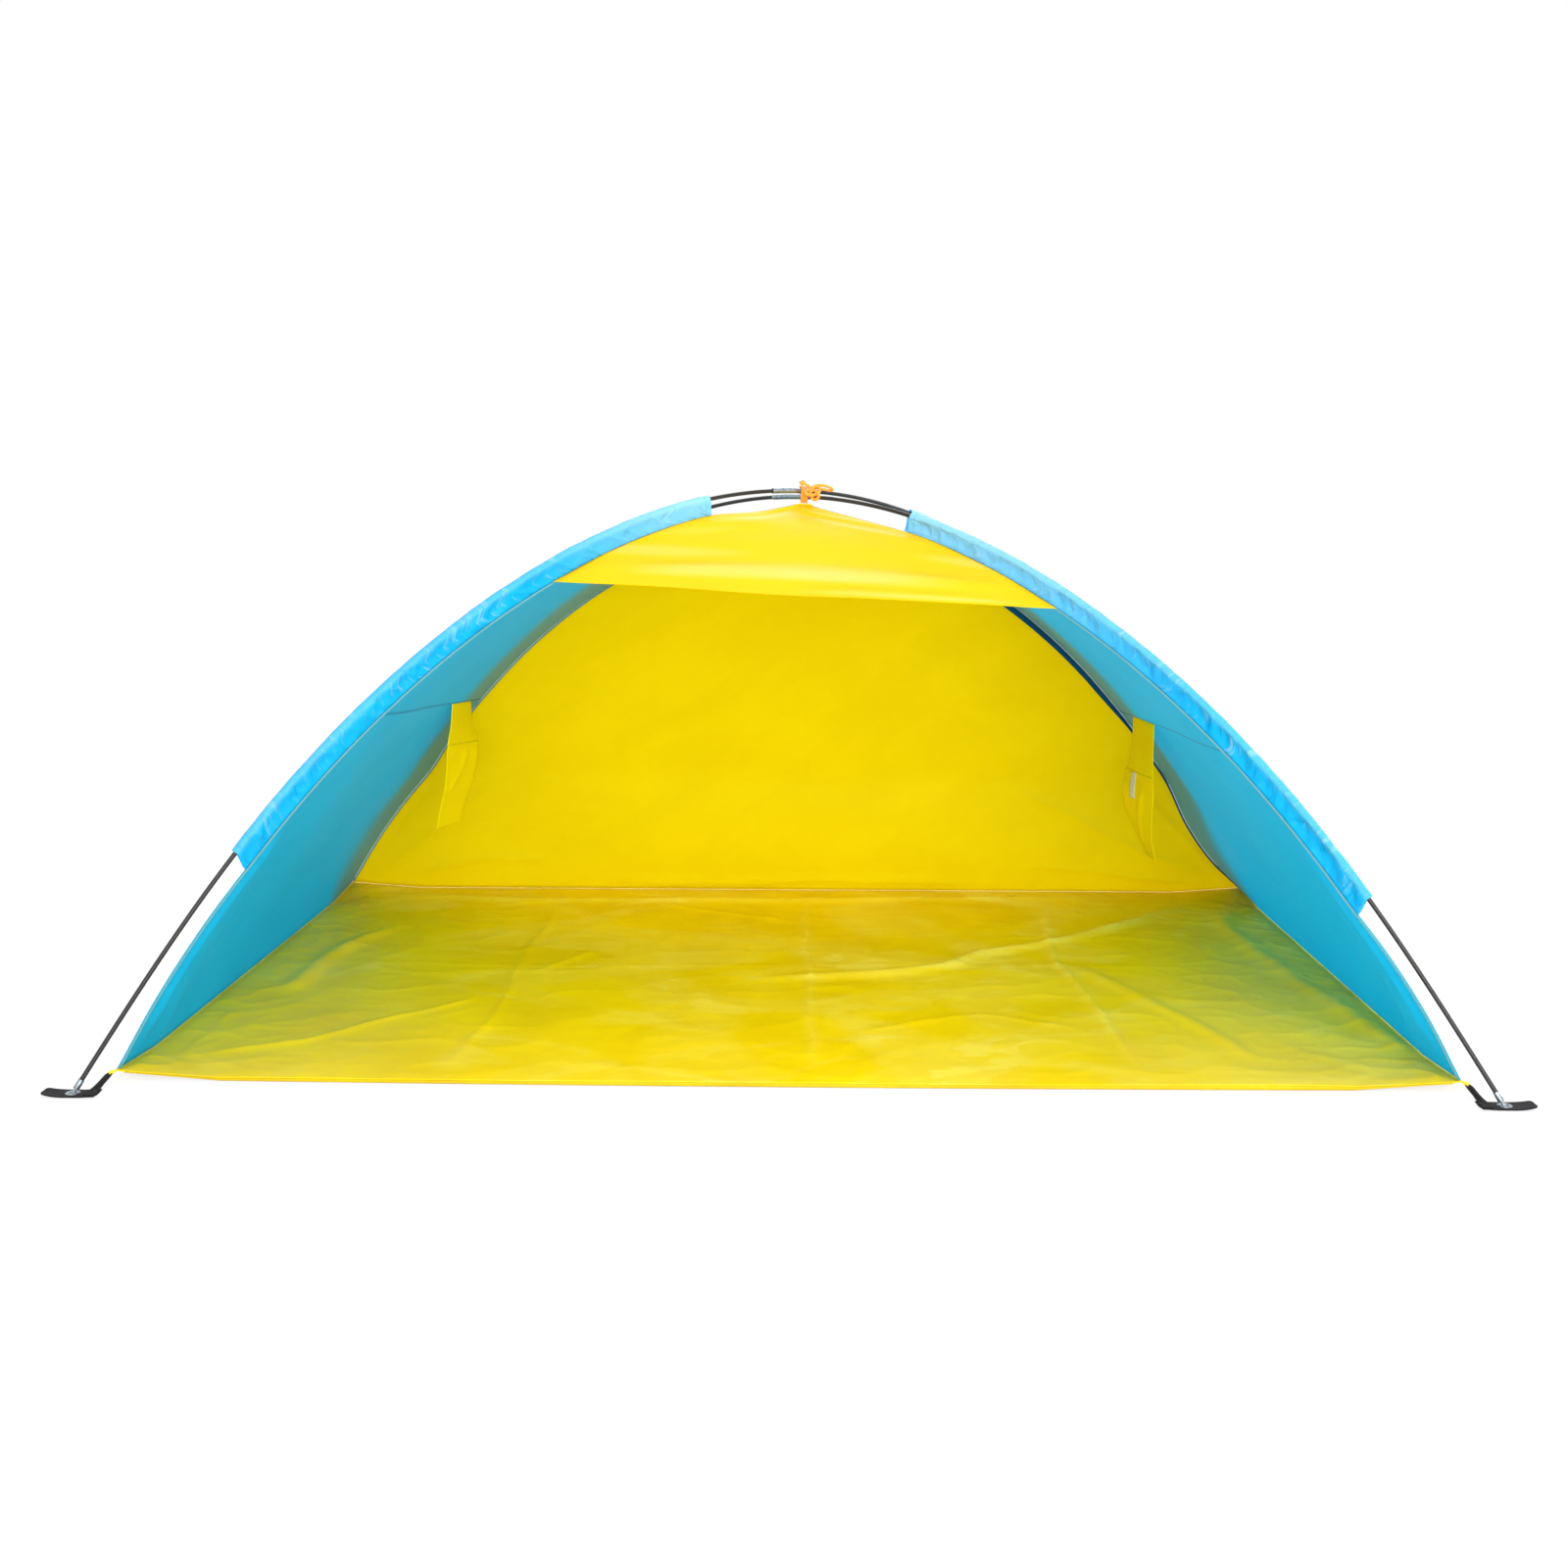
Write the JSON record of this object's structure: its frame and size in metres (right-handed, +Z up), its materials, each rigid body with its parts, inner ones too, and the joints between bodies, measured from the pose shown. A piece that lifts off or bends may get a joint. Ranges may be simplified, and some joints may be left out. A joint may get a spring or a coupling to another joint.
{
  "type": "beach tent",
  "caption": "Open-fronted beach tent: crossed flexible poles in sleeves over a sewn shelter with floor, side panels, rear wall, roof front, hanging flaps and corner straps.",
  "frame": {"origin": "on the ground under the middle of the floor", "axes": "+X to the right seen from the open front, +Y to the rear, +Z up"},
  "size_m": [2.147, 1.4172, 0.8889],
  "materials": {
    "fibreglass": "dark grey resin rod, smooth with a soft gloss",
    "steel": "plain drawn steel tube and pressed eyelets, lightly worn",
    "elastic": "pale braided elastic",
    "yellow_cloth": "thin coated polyester, bright yellow with a silky sheen and soft creases",
    "blue_cloth": "thin coated polyester, sky blue with a silky sheen and puckered seams",
    "webbing": "black woven webbing",
    "orange_cord": "soft orange round cord",
    "white_patch": "white hook-and-loop tape"
  },
  "bodies": {
    "tent": {"pole_a_section_1": "fibreglass", "pole_a_section_2": "fibreglass", "pole_a_section_3": "fibreglass", "pole_a_section_4": "fibreglass", "pole_a_section_5": "fibreglass", "pole_a_section_6": "fibreglass", "pole_a_ferrule_1": "steel", "pole_a_ferrule_2": "steel", "pole_a_ferrule_3": "steel", "pole_a_ferrule_4": "steel", "pole_a_ferrule_5": "steel", "pole_a_front_cap": "steel", "pole_a_rear_cap": "steel", "pole_a_shock_cord": "elastic", "pole_b_section_1": "fibreglass", "pole_b_section_2": "fibreglass", "pole_b_section_3": "fibreglass", "pole_b_section_4": "fibreglass", "pole_b_section_5": "fibreglass", "pole_b_section_6": "fibreglass", "pole_b_ferrule_1": "steel", "pole_b_ferrule_2": "steel", "pole_b_ferrule_3": "steel", "pole_b_ferrule_4": "steel", "pole_b_ferrule_5": "steel", "pole_b_front_cap": "steel", "pole_b_rear_cap": "steel", "pole_b_shock_cord": "elastic", "floor": "yellow_cloth", "rear_wall": "yellow_cloth", "front_valance": "yellow_cloth", "apex_loop": "yellow_cloth", "left_side_panel": "blue_cloth", "right_side_panel": "blue_cloth", "front_left_sleeve": "blue_cloth", "front_left_strap": "webbing", "front_left_eyelet": "steel", "front_left_tab": "yellow_cloth", "front_right_sleeve": "blue_cloth", "front_right_strap": "webbing", "front_right_eyelet": "steel", "front_right_tab": "yellow_cloth", "rear_left_sleeve": "blue_cloth", "rear_left_strap": "webbing", "rear_left_eyelet": "steel", "rear_left_tab": "yellow_cloth", "rear_right_sleeve": "blue_cloth", "rear_right_strap": "webbing", "rear_right_eyelet": "steel", "rear_right_tab": "yellow_cloth", "tie_cord": "orange_cord"},
    "left_flap_upper": {"left_flap_upper": "yellow_cloth"},
    "left_flap_lower": {"left_flap_lower": "yellow_cloth"},
    "right_flap_upper": {"right_flap_upper": "yellow_cloth"},
    "right_flap_lower": {"right_flap_lower": "yellow_cloth", "right_flap_patch": "white_patch"},
    "front_left_tail": {"front_left_strap_tail": "webbing"},
    "front_right_tail": {"front_right_strap_tail": "webbing"},
    "rear_left_tail": {"rear_left_strap_tail": "webbing"},
    "rear_right_tail": {"rear_right_strap_tail": "webbing"}
  },
  "joints": [
    {"name": "left_flap_hinge", "type": "hinge", "parent": "tent", "child": "left_flap_upper", "pos_m": [-0.65337, 0.24584, 0.46549], "axis": [0.0125, -0.9964, 0.0842], "range_deg": [-10, 75]},
    {"name": "left_flap_fold", "type": "hinge", "parent": "left_flap_upper", "child": "left_flap_lower", "pos_m": [-0.65277, 0.24585, 0.38484], "axis": [0.0125, -0.9964, 0.0842], "range_deg": [-15, 80]},
    {"name": "right_flap_hinge", "type": "hinge", "parent": "tent", "child": "right_flap_upper", "pos_m": [0.68108, 0.21047, 0.44042], "axis": [-0.0073, 0.9988, -0.0491], "range_deg": [-10, 75]},
    {"name": "right_flap_fold", "type": "hinge", "parent": "right_flap_upper", "child": "right_flap_lower", "pos_m": [0.68048, 0.21046, 0.33677], "axis": [-0.0073, 0.9988, -0.0491], "range_deg": [-15, 80]},
    {"name": "front_left_tail_lift", "type": "hinge", "parent": "tent", "child": "front_left_tail", "pos_m": [-1.04154, -0.69363, 0.0028], "axis": [0, 1, 0], "range_deg": [0, 85]},
    {"name": "front_right_tail_lift", "type": "hinge", "parent": "tent", "child": "front_right_tail", "pos_m": [1.04154, -0.69363, 0.0028], "axis": [0, -1, 0], "range_deg": [0, 85]},
    {"name": "rear_left_tail_lift", "type": "hinge", "parent": "tent", "child": "rear_left_tail", "pos_m": [-1.04154, 0.69363, 0.0028], "axis": [0, 1, 0], "range_deg": [0, 85]},
    {"name": "rear_right_tail_lift", "type": "hinge", "parent": "tent", "child": "rear_right_tail", "pos_m": [1.04154, 0.69363, 0.0028], "axis": [0, -1, 0], "range_deg": [0, 85]}
  ]
}
